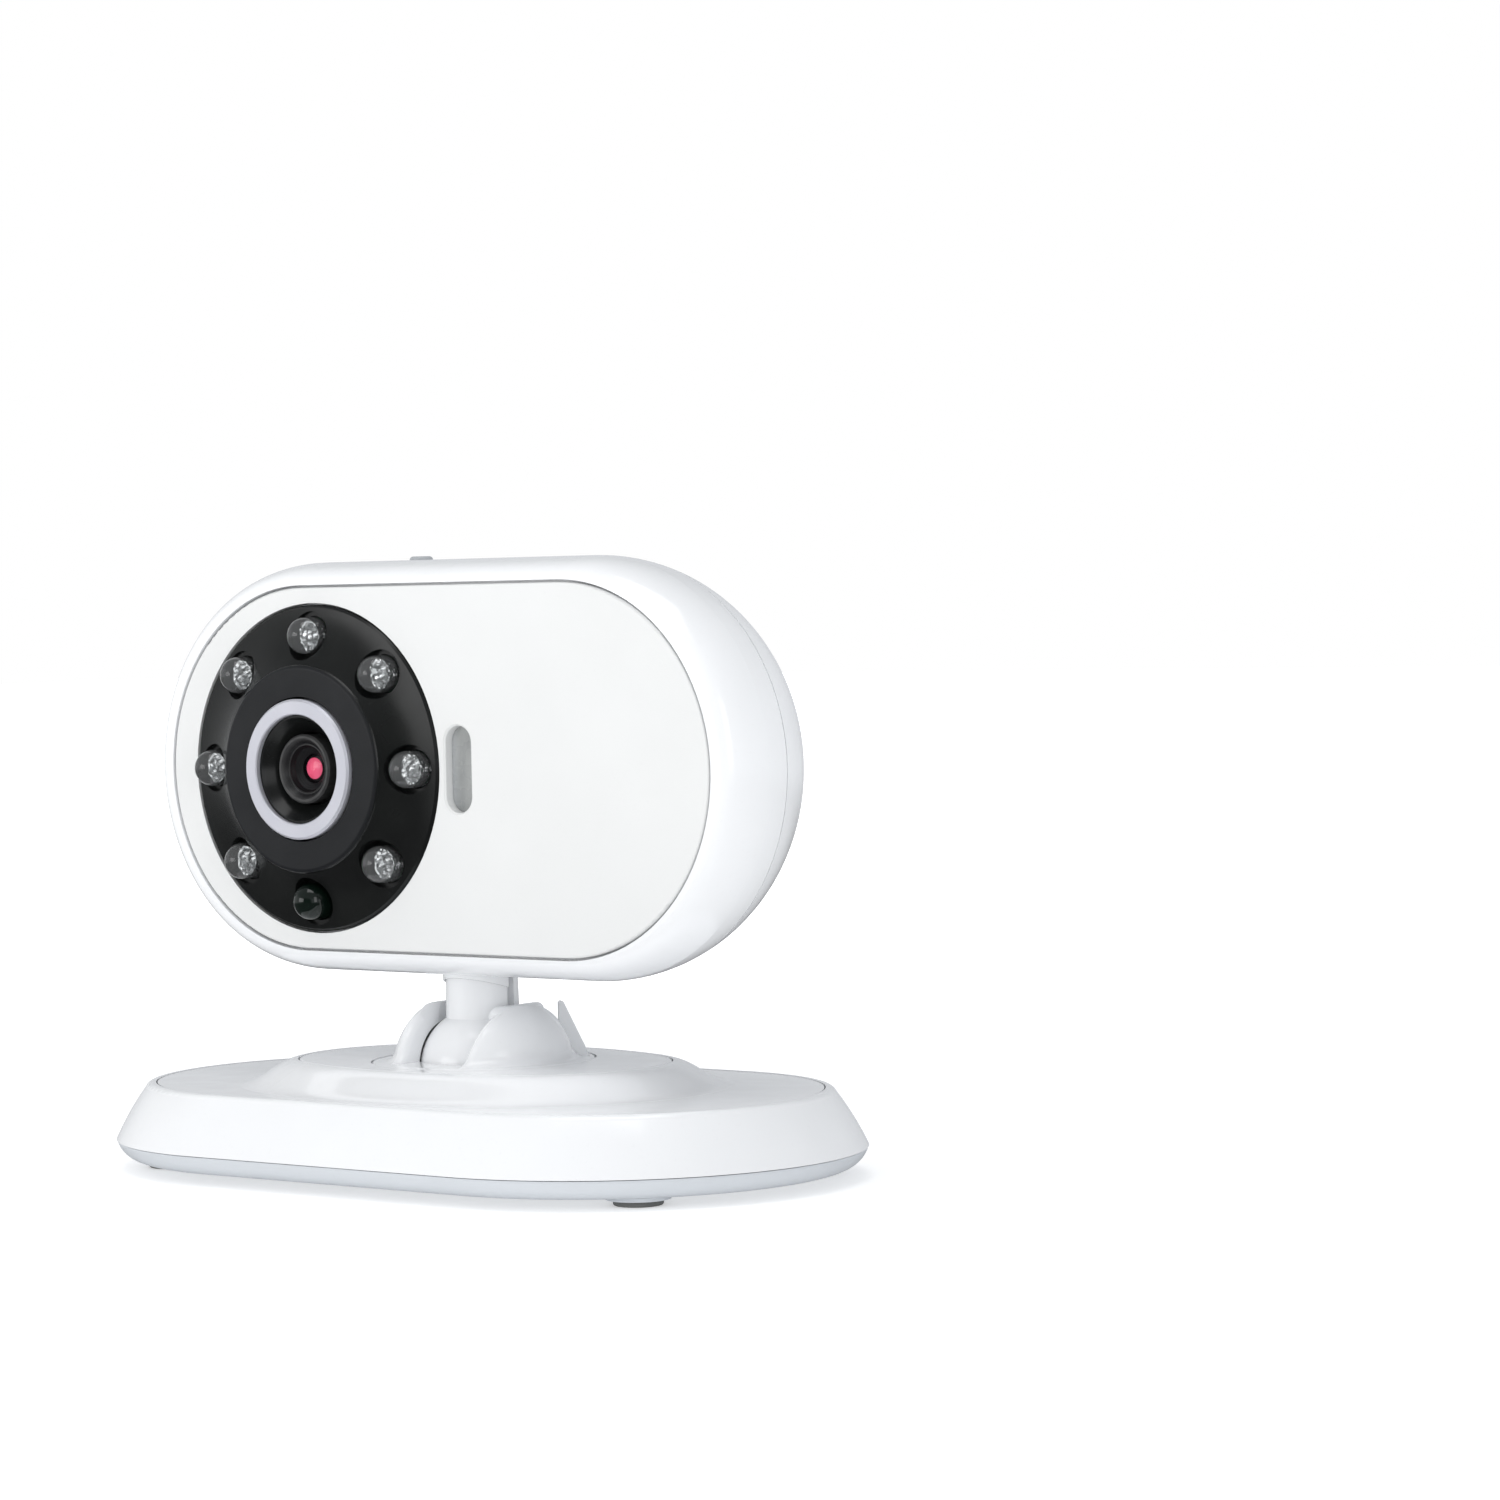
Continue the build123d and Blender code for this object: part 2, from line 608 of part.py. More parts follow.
# ------------------------------------------------------------------ head shells
# Half sections: x runs out from the middle line of the stadium, y runs forward from the panel face.
with BuildSketch() as front_outer:
    with BuildLine():
        seam_arc = CenterArc((BACK_CENTRE_R, -SHELL_WIDEST), BACK_ARC, -SEAM_ANGLE, SEAM_ANGLE)
        EllipticalCenterArc(
            (SHELL_EDGE_RADIUS, -SHELL_WIDEST),
            SHELL_RADIUS - SHELL_EDGE_RADIUS,
            SHELL_WIDEST,
            0,
            arc_size=90,
        )
        Polyline((SHELL_EDGE_RADIUS, 0), (0, 0), (0, -SHELL_SEAM), seam_arc @ 0)
    make_face()

with BuildSketch() as front_inner:
    with BuildLine():
        Polyline(
            (0, -SHELL_SEAM),
            (0, -LEDGE_BACK),
            (22.6, -LEDGE_BACK),
            (25.2, -6.0),
            (25.6, -8.0),
            (25.6, -SHELL_SEAM),
            close=True,
        )
    make_face()


def back_section(inset):
    """Rear shell half section with its walls moved in by `inset`."""
    side = BACK_ARC - inset
    corner_x = BACK_CENTRE_R + (BACK_ARC - BACK_CORNER) * cos(radians(BACK_ARC_END))
    with BuildSketch() as section:
        with BuildLine():
            corner = CenterArc(
                (corner_x, BACK_CORNER - BACK_DEPTH), BACK_CORNER - inset, -90, 90 - BACK_ARC_END
            )
            flank = CenterArc(
                (BACK_CENTRE_R, -SHELL_WIDEST), side, -BACK_ARC_END, BACK_ARC_END - SEAM_ANGLE
            )
            Polyline(corner @ 0, (0, inset - BACK_DEPTH), (0, (flank @ 1).Y), flank @ 1)
        make_face()
    return section.sketch


# Front housing: gloss shell with a shallow recess for the panel and a ledge behind it.
with BuildPart() as front_cavity:
    add(racetrack(front_inner.sketch, SHELL_HALF_STRAIGHT, face_plane()))
    with BuildSketch(face_plane(-LEDGE_BACK)):
        with Locations(*HOUSING_SCREWS):
            Circle(3.0)
        with Locations(*BOARD_POSTS):
            Circle(2.2)
    extrude(amount=-(SHELL_SEAM - LEDGE_BACK), mode=Mode.SUBTRACT)
    with BuildSketch(face_plane(-LEDGE_BACK)):
        with Locations((0, -20.0)):
            Rectangle(18.0, 1.4)
    extrude(amount=-6.0, mode=Mode.SUBTRACT)

with BuildPart() as front_housing:
    add(racetrack(front_outer.sketch, SHELL_HALF_STRAIGHT, face_plane()))
    extrude(
        stadium(face_plane(), PANEL_HALF_STRAIGHT, PANEL_RADIUS + PANEL_GAP),
        amount=-(PANEL_THICK + 0.1),
        mode=Mode.SUBTRACT,
    )
    add(front_cavity.part, mode=Mode.SUBTRACT)
    with BuildSketch(face_plane()):
        with Locations((LENS_X, 0)):
            Circle(21.2)
        with Locations((PILL_X, 0)):
            SlotOverall(PILL_HEIGHT + 0.3, PILL_WIDTH + 0.3, rotation=90)
    extrude(amount=-LEDGE_BACK, mode=Mode.SUBTRACT)
    with BuildSketch(face_plane(-SHELL_SEAM)):
        with Locations(*HOUSING_SCREWS):
            Circle(1.3)
    extrude(amount=6.5, mode=Mode.SUBTRACT)
    with BuildSketch(face_plane(-SHELL_SEAM)):
        with Locations(*BOARD_POSTS):
            Circle(2.3)
    extrude(amount=0.5, mode=Mode.SUBTRACT)
    with BuildSketch(face_plane(-SHELL_SEAM)):
        with Locations(*BOARD_POSTS):
            Circle(0.85)
    extrude(amount=5.0, mode=Mode.SUBTRACT)
    # slanted saddle round the front of the neck
    with BuildSketch(Plane.YZ.offset(-5.3)):
        with BuildLine():
            Polyline((-5.4, 28.2), (-5.4, 26.4), (-0.55, 24.95), (-0.55, 28.2), close=True)
        make_face()
    extrude(amount=10.6)
    with BuildSketch(Plane.XY.offset(24.0)):
        Rectangle(20.0, 20.0)
        Circle(5.25, mode=Mode.SUBTRACT)
        with Locations((0, 5.0)):
            Rectangle(20.0, 11.1, mode=Mode.SUBTRACT)
    extrude(amount=2.75, mode=Mode.SUBTRACT)
    with BuildSketch(Plane.XY.offset(24.0)):
        Circle(NECK_RADIUS_LOW + 0.06)
    extrude(amount=8.0, mode=Mode.SUBTRACT)
front_housing.part.label = "front_housing"
export_step(front_housing.part, "parts/front_housing.step")

# Rear housing: domed back shell with screw wells, grille, vents and the power fittings.
GRILLE_RINGS = [(0.0, 1), (3.0, 6), (6.0, 12), (9.0, 18)]
WELL_SEAT = 16.0

with BuildPart() as rear_cavity:
    add(racetrack(back_section(SHELL_WALL), SHELL_HALF_STRAIGHT, face_plane()))
    with BuildSketch(face_plane(-SHELL_SEAM - 1.0)):
        with Locations(*HOUSING_SCREWS):
            Circle(3.9)
    extrude(amount=-BACK_DEPTH, mode=Mode.SUBTRACT)
    with BuildSketch(face_plane(-SHELL_SEAM)):
        with Locations((0, -20.0)):
            Rectangle(18.0, 1.4)
    extrude(amount=-BACK_DEPTH, mode=Mode.SUBTRACT)

with BuildSketch() as groove_section:
    with Locations((BACK_CENTRE_R + BACK_ARC * cos(radians(SEAM_ANGLE)), -SHELL_SEAM)):
        Rectangle(2 * SHELL_GROOVE_DEPTH, 2 * SHELL_GROOVE)

with BuildPart() as rear_housing:
    add(racetrack(back_section(0.0), SHELL_HALF_STRAIGHT, face_plane()))
    add(racetrack(groove_section.sketch, SHELL_HALF_STRAIGHT, face_plane()), mode=Mode.SUBTRACT)
    add(rear_cavity.part, mode=Mode.SUBTRACT)
    with BuildSketch(face_plane(-WELL_SEAT)):
        with Locations(*HOUSING_SCREWS):
            Circle(2.7)
    extrude(amount=-BACK_DEPTH, mode=Mode.SUBTRACT)
    with BuildSketch(face_plane(-SHELL_SEAM)):
        with Locations(*HOUSING_SCREWS):
            Circle(1.45)
    extrude(amount=-BACK_DEPTH, mode=Mode.SUBTRACT)
    # openings through the flat back, drawn as seen from the front
    with BuildSketch(face_plane(-BACK_DEPTH)):
        with Locations((SPEAKER_X, 0)):
            for ring_radius, count in GRILLE_RINGS:
                with PolarLocations(ring_radius, count):
                    Circle(0.75)
        with Locations((MIC_X, MIC_Y)):
            Circle(0.6)
        with Locations((-20.6, 5.0)):
            with GridLocations(3.2, 0, 6, 1):
                SlotOverall(7.0, 1.3, rotation=90)
        with Locations((0, JACK_Y)):
            Circle(3.6)
        with Locations((0, SWITCH_Y)):
            RectangleRounded(SWITCH_TRAVEL + 4.1, 3.1, 0.4)
    extrude(amount=SHELL_WALL + 0.5, mode=Mode.SUBTRACT)
    with BuildSketch(face_plane(-BACK_INNER)):
        with Locations(*SWITCH_PILLARS):
            Circle(1.7)
            Circle(0.75, mode=Mode.SUBTRACT)
    extrude(amount=BACK_INNER + SWITCH_PLATE)
    with BuildSketch(Plane.XY.offset(24.0)):
        Circle(NECK_RADIUS_LOW + 0.06)
    extrude(amount=8.0, mode=Mode.SUBTRACT)
    with BuildSketch(Plane.XY.offset(HEAD_Z)):
        with Locations((BUTTON_X, BUTTON_Y)):
            Circle(BUTTON_RADIUS + 0.2)
    extrude(amount=40.0, mode=Mode.SUBTRACT)
rear_housing.part.label = "rear_housing"
export_step(rear_housing.part, "parts/rear_housing.step")

# Cosmetic front panel, glued into the recess, pierced for the lens bezel and the light window.
with BuildPart() as front_panel:
    with BuildSketch(face_plane(-PANEL_THICK)):
        SlotOverall(2 * (PANEL_HALF_STRAIGHT + PANEL_RADIUS), 2 * PANEL_RADIUS)
    extrude(amount=PANEL_THICK)
    fillet(front_panel.faces().sort_by(Axis.Y)[0].edges(), 0.3)
    with BuildSketch(face_plane(-PANEL_THICK)):
        with Locations((LENS_X, 0)):
            Circle(BEZEL_RADIUS + 0.25)
        with Locations((PILL_X, 0)):
            SlotOverall(PILL_HEIGHT + 0.1, PILL_WIDTH + 0.1, rotation=90)
    extrude(amount=PANEL_THICK, mode=Mode.SUBTRACT)
    window_rim = front_panel.edges().filter_by(
        lambda e: e.center().Y < PANEL_Y + 0.01 and abs(e.center().X - PILL_X) < 0.6 * PILL_WIDTH
        and abs(e.center().Z - HEAD_Z) < PILL_HEIGHT
    )
    chamfer(window_rim, 0.25)
front_panel.part.label = "front_panel"
export_step(front_panel.part, "parts/front_panel.step")

housing_screws = screw(seen_from_behind(-WELL_SEAT), HOUSING_SCREWS, 2.3, 1.7, 1.2, 10.5)
housing_screws.label = "housing_screws"
export_step(housing_screws, "parts/housing_screws.step")

# ------------------------------------------------------------------ lens, lamps and light window
# Bezel: black ring with a raised collar, a groove for the trim ring and the tube that carries the lens.
with BuildPart() as lens_bezel:
    with BuildSketch(LENS_SECTION):
        with BuildLine():
            Polyline(
                (21.8, 0.15),
                (BEZEL_RADIUS, -0.2),
                (BEZEL_RADIUS, -1.65),
                (20.8, -1.65),
                (20.8, -3.0),
                (8.5, -3.0),
                (8.5, BEZEL_TUBE_END),
                (LENS_BORE, BEZEL_TUBE_END),
                (LENS_BORE, 0.6),
                (7.0, COLLAR_TOP),
                (7.3, COLLAR_TOP),
                (7.3, 0.8),
                (TRIM_RADIUS + TRIM_GAP, 0.8),
                (TRIM_RADIUS + TRIM_GAP, COLLAR_TOP),
                (13.5, COLLAR_TOP),
            )
            ThreePointArc((13.5, COLLAR_TOP), (13.9, 3.17), (14.15, 2.85))
            ThreePointArc((14.15, 2.85), (17.8, 1.15), (21.8, 0.15))
        make_face()
    revolve(axis=LENS_AXIS)
    with BuildSketch(face_plane(COLLAR_TOP)):
        with Locations(*led_spots(range(LED_COUNT))):
            Circle(LED_RADIUS + 0.15)
    extrude(amount=-7.0, mode=Mode.SUBTRACT)
    with BuildSketch(face_plane(COLLAR_TOP)):
        with Locations(*led_spots(range(LED_COUNT))):
            Circle(LED_HOLE)
    extrude(amount=-COLLAR_TOP - 0.3, mode=Mode.SUBTRACT)
lens_bezel.part.label = "lens_bezel"
export_step(lens_bezel.part, "parts/lens_bezel.step")

# Bright trim ring pressed into the groove of the collar.
lens_trim_ring = turned(
    [
        (7.4, 0.85),
        (7.4, TRIM_TOP - 0.15),
        (7.55, TRIM_TOP),
        (TRIM_RADIUS - 0.3, TRIM_TOP),
        (TRIM_RADIUS, TRIM_TOP - 0.3),
        (TRIM_RADIUS, 0.85),
    ]
)
lens_trim_ring.label = "lens_trim_ring"
export_step(lens_trim_ring, "parts/lens_trim_ring.step")

# Lens barrel with a stepped black mouth, and the two glasses inside it.
lens_barrel = turned(
    [
        (BARREL_BORE, -9.5),
        (BARREL_BORE, 0.4),
        (2.9, 1.0),
        (3.2, 1.7),
        (3.45, 1.7),
        (4.15, 2.5),
        (4.45, 2.5),
        (LENS_BARREL, 2.25),
        (LENS_BARREL, -9.5),
    ]
)
lens_barrel.label = "lens_barrel"
export_step(lens_barrel, "parts/lens_barrel.step")

with BuildPart() as lens_elements:
    with BuildSketch(LENS_SECTION):
        with BuildLine():
            TangentArc((0, 0.55), (GLASS_RADIUS, 0.05), tangent=(1, 0))
            Polyline((GLASS_RADIUS, 0.05), (GLASS_RADIUS, -1.6), (0, -1.6), (0, 0.55))
        make_face()
    revolve(axis=LENS_AXIS)
    with BuildSketch(LENS_SECTION):
        with BuildLine():
            TangentArc((0, -4.4), (GLASS_RADIUS, -5.0), tangent=(1, 0))
            Polyline((GLASS_RADIUS, -5.0), (GLASS_RADIUS, -6.0), (0, -6.0), (0, -4.4))
        make_face()
    revolve(axis=LENS_AXIS)
lens_elements.part.label = "lens_elements"
export_step(lens_elements.part, "parts/lens_elements.step")

# Lens holder: square mount the barrel screws into, over the image sensor.
with BuildPart() as lens_holder:
    with BuildSketch(face_plane(SENSOR_BOARD_FRONT)):
        with Locations((LENS_X, 0)):
            RectangleRounded(14.0, 14.0, 1.0)
    extrude(amount=BEZEL_TUBE_END - SENSOR_BOARD_FRONT)
    with BuildSketch(face_plane(SENSOR_BOARD_FRONT)):
        with Locations((LENS_X, 0)):
            Rectangle(11.0, 11.0)
    extrude(amount=2.5, mode=Mode.SUBTRACT)
    with BuildSketch(face_plane(SENSOR_BOARD_FRONT)):
        with Locations((LENS_X, 0)):
            Circle(LENS_BARREL + 0.05)
    extrude(amount=BEZEL_TUBE_END - SENSOR_BOARD_FRONT, mode=Mode.SUBTRACT)
lens_holder.part.label = "lens_holder"
export_step(lens_holder.part, "parts/lens_holder.step")

sensor_board = block((LENS_X, 0), (24.0, 24.0), SENSOR_BOARD_BACK, SENSOR_BOARD_FRONT, 1.0)
sensor_board.label = "sensor_board"
export_step(sensor_board, "parts/sensor_board.step")

image_sensor = block((LENS_X, 0), (8.0, 8.0), SENSOR_BOARD_FRONT, SENSOR_BOARD_FRONT + 0.9, 0.2)
image_sensor.label = "image_sensor"
export_step(image_sensor, "parts/image_sensor.step")

# Seven infrared lamps and one light sensor share the eight holes of the bezel.
ir_leds = dome_lamps(LAMP_SPOTS)
ir_leds.label = "ir_leds"
export_step(ir_leds, "parts/ir_leds.step")

photo_sensor = dome_lamps(SENSOR_SPOT)
photo_sensor.label = "photo_sensor"
export_step(photo_sensor, "parts/photo_sensor.step")

with BuildPart() as led_board:
    with BuildSketch(face_plane(LED_SEAT)):
        with Locations((LENS_X, 0)):
            Circle(19.8)
            Circle(10.0, mode=Mode.SUBTRACT)
    extrude(amount=-1.0)
led_board.part.label = "led_board"
export_step(led_board.part, "parts/led_board.step")

# Light window: tall pill set back in the panel, with a flange behind the shell and a rod to its lamp.
with BuildPart() as status_light_pipe:
    with BuildSketch(face_plane(-LEDGE_BACK)):
        with Locations((PILL_X, 0)):
            SlotOverall(PILL_HEIGHT, PILL_WIDTH, rotation=90)
    extrude(amount=LEDGE_BACK - PILL_INSET)
    with BuildSketch(face_plane(-LEDGE_BACK)):
        with Locations((PILL_X, 0)):
            SlotOverall(PILL_HEIGHT + 2.2, PILL_WIDTH + 2.2, rotation=90)
    extrude(amount=-1.0)
    with BuildSketch(face_plane(-LEDGE_BACK)):
        with Locations((PILL_X, 0)):
            Circle(0.5 * PILL_WIDTH)
    extrude(amount=-6.0)
status_light_pipe.part.label = "status_light_pipe"
export_step(status_light_pipe.part, "parts/status_light_pipe.step")

status_led = block((PILL_X, 0), (3.0, 2.8), BOARD_FRONT, BOARD_FRONT + 0.8, 0.2)
status_led.label = "status_led"
export_step(status_led, "parts/status_led.step")

# ------------------------------------------------------------------ boards
# Main board: stands on three posts of the front housing, with an arm under the top button.
with BuildPart() as main_board:
    with BuildSketch(face_plane(BOARD_FRONT)):
        with Locations((13.5, 1.0)):
            Rectangle(39.0, 30.0)
        with Locations((BUTTON_X + 0.6, 16.25)):
            Rectangle(12.0, 7.5)
        with Locations(*BOARD_POSTS):
            Circle(1.0, mode=Mode.SUBTRACT)
    extrude(amount=-BOARD_THICK)
main_board.part.label = "main_board"
export_step(main_board.part, "parts/main_board.step")

main_board_screws = screw(
    seen_from_behind(BOARD_BACK), [(-x, y) for x, y in BOARD_POSTS], 1.8, 1.2, 0.8, 5.5
)
main_board_screws.label = "main_board_screws"
export_step(main_board_screws, "parts/main_board_screws.step")

rf_shield = block((18.0, -1.0), (14.0, 14.0), BOARD_BACK - 2.4, BOARD_BACK, 0.6)
rf_shield.label = "rf_shield"
export_step(rf_shield, "parts/rf_shield.step")

antenna_board = block((18.0, 17.5), (16.0, 6.0), BOARD_FRONT, BOARD_FRONT + 0.8, 0.4)
antenna_board.label = "antenna_board"
export_step(antenna_board, "parts/antenna_board.step")

# Flat cable from the back of the sensor board to the back of the main board.
with BuildPart() as sensor_ribbon:
    with BuildSketch(Plane(origin=(0, PANEL_Y, HEAD_Z - 1.5), x_dir=(1, 0, 0), z_dir=(0, 0, 1))):
        with BuildLine():
            cable = Polyline((-12.0, 17.15), (-8.1, 17.15), (-4.6, 12.3), (-3.6, 11.85), (0, 11.85))
            offset(cable, amount=0.1)
        make_face()
    extrude(amount=4.0)
sensor_ribbon.part.label = "sensor_ribbon"
export_step(sensor_ribbon.part, "parts/sensor_ribbon.step")

# ------------------------------------------------------------------ top button
TACT_TOP = 20.1
with BuildPart() as tact_switch:
    with BuildSketch(face_plane(BOARD_BACK)):
        with Locations((BUTTON_X, TACT_TOP - 1.9)):
            Rectangle(6.0, 3.8)
    extrude(amount=-3.5)
    with BuildSketch(Plane.XY.offset(HEAD_Z + TACT_TOP)):
        with Locations((BUTTON_X, BUTTON_Y)):
            Circle(1.0)
    extrude(amount=0.4)
tact_switch.part.label = "tact_switch"
export_step(tact_switch.part, "parts/tact_switch.step")

with BuildPart() as pair_button:
    with BuildSketch(Plane.XY.offset(HEAD_Z + TACT_TOP + 0.4 + BUTTON_TRAVEL)):
        with Locations((BUTTON_X, BUTTON_Y)):
            Circle(1.0)
    extrude(amount=BUTTON_FLANGE_Z - HEAD_Z - TACT_TOP - 0.4 - BUTTON_TRAVEL)
    with BuildSketch(Plane.XY.offset(BUTTON_FLANGE_Z)):
        with Locations((BUTTON_X, BUTTON_Y)):
            Circle(2.2)
    extrude(amount=0.8)
    with BuildSketch(Plane.XY.offset(BUTTON_FLANGE_Z)):
        with Locations((BUTTON_X, BUTTON_Y)):
            Circle(BUTTON_RADIUS)
    extrude(amount=BUTTON_TOP_Z - BUTTON_FLANGE_Z)
    fillet(pair_button.faces().sort_by(Axis.Z)[-1].edges(), 0.5)
pair_button.part.label = "pair_button"
export_step(pair_button.part, "parts/pair_button.step")

# ------------------------------------------------------------------ rear fittings
BACK_SEAT = -BACK_INNER + 0.06

with BuildPart() as microphone:
    with BuildSketch(face_plane(BACK_SEAT)):
        with Locations((MIC_X, MIC_Y)):
            Circle(3.0)
    extrude(amount=2.6)
    fillet(microphone.faces().sort_by(Axis.Y)[0].edges(), 0.4)
microphone.part.label = "microphone"
export_step(microphone.part, "parts/microphone.step")

# Speaker: shallow frame with a domed cone at the back and a magnet can in front.
with BuildPart() as speaker:
    with BuildSketch(face_plane(BACK_SEAT)):
        with Locations((SPEAKER_X, 0)):
            Circle(SPEAKER_RADIUS)
    extrude(amount=2.4)
    with BuildSketch(face_plane(BACK_SEAT)):
        with Locations((SPEAKER_X, 0)):
            Circle(SPEAKER_RADIUS - 1.2)
    extrude(amount=0.6, mode=Mode.SUBTRACT)
    with BuildSketch(face_plane(BACK_SEAT + 2.4)):
        with Locations((SPEAKER_X, 0)):
            Circle(7.5)
    extrude(amount=2.6)
speaker.part.label = "speaker"
export_step(speaker.part, "parts/speaker.step")

# Power jack: square body standing on the main board, its nose flush in the back of the shell.
with BuildPart() as dc_jack:
    with BuildSketch(face_plane(BACK_SEAT)):
        with Locations((0, JACK_Y)):
            RectangleRounded(9.0, 9.0, 0.6)
    extrude(amount=BOARD_BACK - BACK_SEAT)
    with BuildSketch(face_plane(BACK_SEAT)):
        with Locations((0, JACK_Y)):
            Circle(JACK_NOSE)
    extrude(amount=-1.7)
    with BuildSketch(face_plane(BACK_SEAT - 1.7)):
        with Locations((0, JACK_Y)):
            Circle(JACK_BORE)
            Circle(JACK_PIN, mode=Mode.SUBTRACT)
    extrude(amount=JACK_DEPTH, mode=Mode.SUBTRACT)
dc_jack.part.label = "dc_jack"
export_step(dc_jack.part, "parts/dc_jack.step")

# Power switch: metal-plated slide switch on two pillars, and the knob that runs in the slot.
with BuildPart() as switch_body:
    with BuildSketch(face_plane(SWITCH_PLATE)):
        with Locations((0, SWITCH_Y)):
            Rectangle(21.0, 5.0)
        with Locations(*SWITCH_PILLARS):
            Circle(0.9, mode=Mode.SUBTRACT)
    extrude(amount=0.6)
    with BuildSketch(face_plane(-23.3)):
        with Locations((0, SWITCH_Y)):
            Rectangle(12.0, 5.0)
    extrude(amount=5.8)
    with BuildSketch(face_plane(-23.3)):
        with Locations((0, SWITCH_Y)):
            Rectangle(SWITCH_TRAVEL + 2.0, 1.8)
    extrude(amount=1.4, mode=Mode.SUBTRACT)
switch_body.part.label = "switch_body"
export_step(switch_body.part, "parts/switch_body.step")

switch_screws = screw(face_plane(SWITCH_PLATE + 0.6), SWITCH_PILLARS, 1.4, 0.8, 0.7, 3.2)
switch_screws.label = "switch_screws"
export_step(switch_screws, "parts/switch_screws.step")

KNOB_X = -0.5 * SWITCH_TRAVEL
with BuildPart() as power_switch_knob:
    with BuildSketch(face_plane(-23.6)):
        with Locations((KNOB_X, SWITCH_Y)):
            Rectangle(8.0, 4.4)
    extrude(amount=-0.5)
    with BuildSketch(face_plane(-23.6)):
        with Locations((KNOB_X, SWITCH_Y)):
            RectangleRounded(3.8, 2.8, 0.3)
    extrude(amount=-3.3)
    fillet(power_switch_knob.faces().sort_by(Axis.Y)[-1].edges(), 0.25)
    with BuildSketch(face_plane(-26.95)):
        with Locations((KNOB_X, SWITCH_Y)):
            with GridLocations(0.9, 0, 3, 1):
                Rectangle(0.3, 2.2)
    extrude(amount=0.3, mode=Mode.SUBTRACT)
    with BuildSketch(face_plane(-23.6)):
        with Locations((KNOB_X, SWITCH_Y)):
            Rectangle(1.6, 1.4)
    extrude(amount=1.2)
power_switch_knob.part.label = "power_switch_knob"
export_step(power_switch_knob.part, "parts/power_switch_knob.step")
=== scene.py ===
import math

import bmesh
import bpy
from mathutils import Matrix, Vector


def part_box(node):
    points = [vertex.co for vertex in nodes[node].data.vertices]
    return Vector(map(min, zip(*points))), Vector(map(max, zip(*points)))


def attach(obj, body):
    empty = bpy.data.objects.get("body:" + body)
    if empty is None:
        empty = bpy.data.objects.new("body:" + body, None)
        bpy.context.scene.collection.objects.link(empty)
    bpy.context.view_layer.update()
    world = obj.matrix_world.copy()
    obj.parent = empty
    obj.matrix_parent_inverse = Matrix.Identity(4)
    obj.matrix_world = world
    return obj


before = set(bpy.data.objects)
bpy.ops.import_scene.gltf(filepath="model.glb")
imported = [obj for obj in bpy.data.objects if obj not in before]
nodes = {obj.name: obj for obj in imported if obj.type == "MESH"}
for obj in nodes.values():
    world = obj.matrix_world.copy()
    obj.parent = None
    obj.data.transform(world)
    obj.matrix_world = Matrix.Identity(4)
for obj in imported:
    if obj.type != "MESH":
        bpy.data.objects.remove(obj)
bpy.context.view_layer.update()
scene = bpy.context.scene


# ------------------------------------------------------------------ camera
CAMERA_SPOT = Vector((0.420, -0.477, 0.0774))
CAMERA_AZIMUTH = 38.05
CAMERA_ELEVATION = 1.94
CAMERA_ROLL = -1.21
CAMERA_LENS = 113.3


def aim_camera(spot, azimuth, elevation, roll, lens):
    """Camera at a place in metres, looking back along an azimuth and elevation and rolled, all in degrees."""
    data = bpy.data.cameras.new("camera")
    data.sensor_width = 36.0
    data.lens = lens
    data.clip_start, data.clip_end = 0.05, 10.0
    camera = bpy.data.objects.new("camera", data)
    scene.collection.objects.link(camera)
    a, e, r = math.radians(azimuth), math.radians(elevation), math.radians(roll)
    back = Vector((math.sin(a) * math.cos(e), -math.cos(a) * math.cos(e), math.sin(e)))
    right = Vector((math.cos(a), math.sin(a), 0.0))
    up = back.cross(right)
    turned_right = right * math.cos(r) + up * math.sin(r)
    turned_up = back.cross(turned_right)
    basis = Matrix((turned_right, turned_up, back)).transposed()
    camera.matrix_world = Matrix.Translation(spot) @ basis.to_4x4()
    scene.camera = camera


aim_camera(CAMERA_SPOT, CAMERA_AZIMUTH, CAMERA_ELEVATION, CAMERA_ROLL, CAMERA_LENS)

# ------------------------------------------------------------------ materials
# Radii from the lens axis, in metres, where one finish blends into the next.
COLLAR_INNER_EDGE = (0.0085, 0.0086)
COLLAR_OUTER_EDGE = (0.01385, 0.0141)
GLASS_COATING_EDGE = (0.00138, 0.00152)
BARREL_RUBBED_EDGE = (0.0036, 0.0043)
BARREL_RING_PITCH = 24000.0
RIBBON_TRACK_PITCH = 9000.0
BOARD_CELL_SCALE = 420.0
HAMMER_SCALE = 2300.0


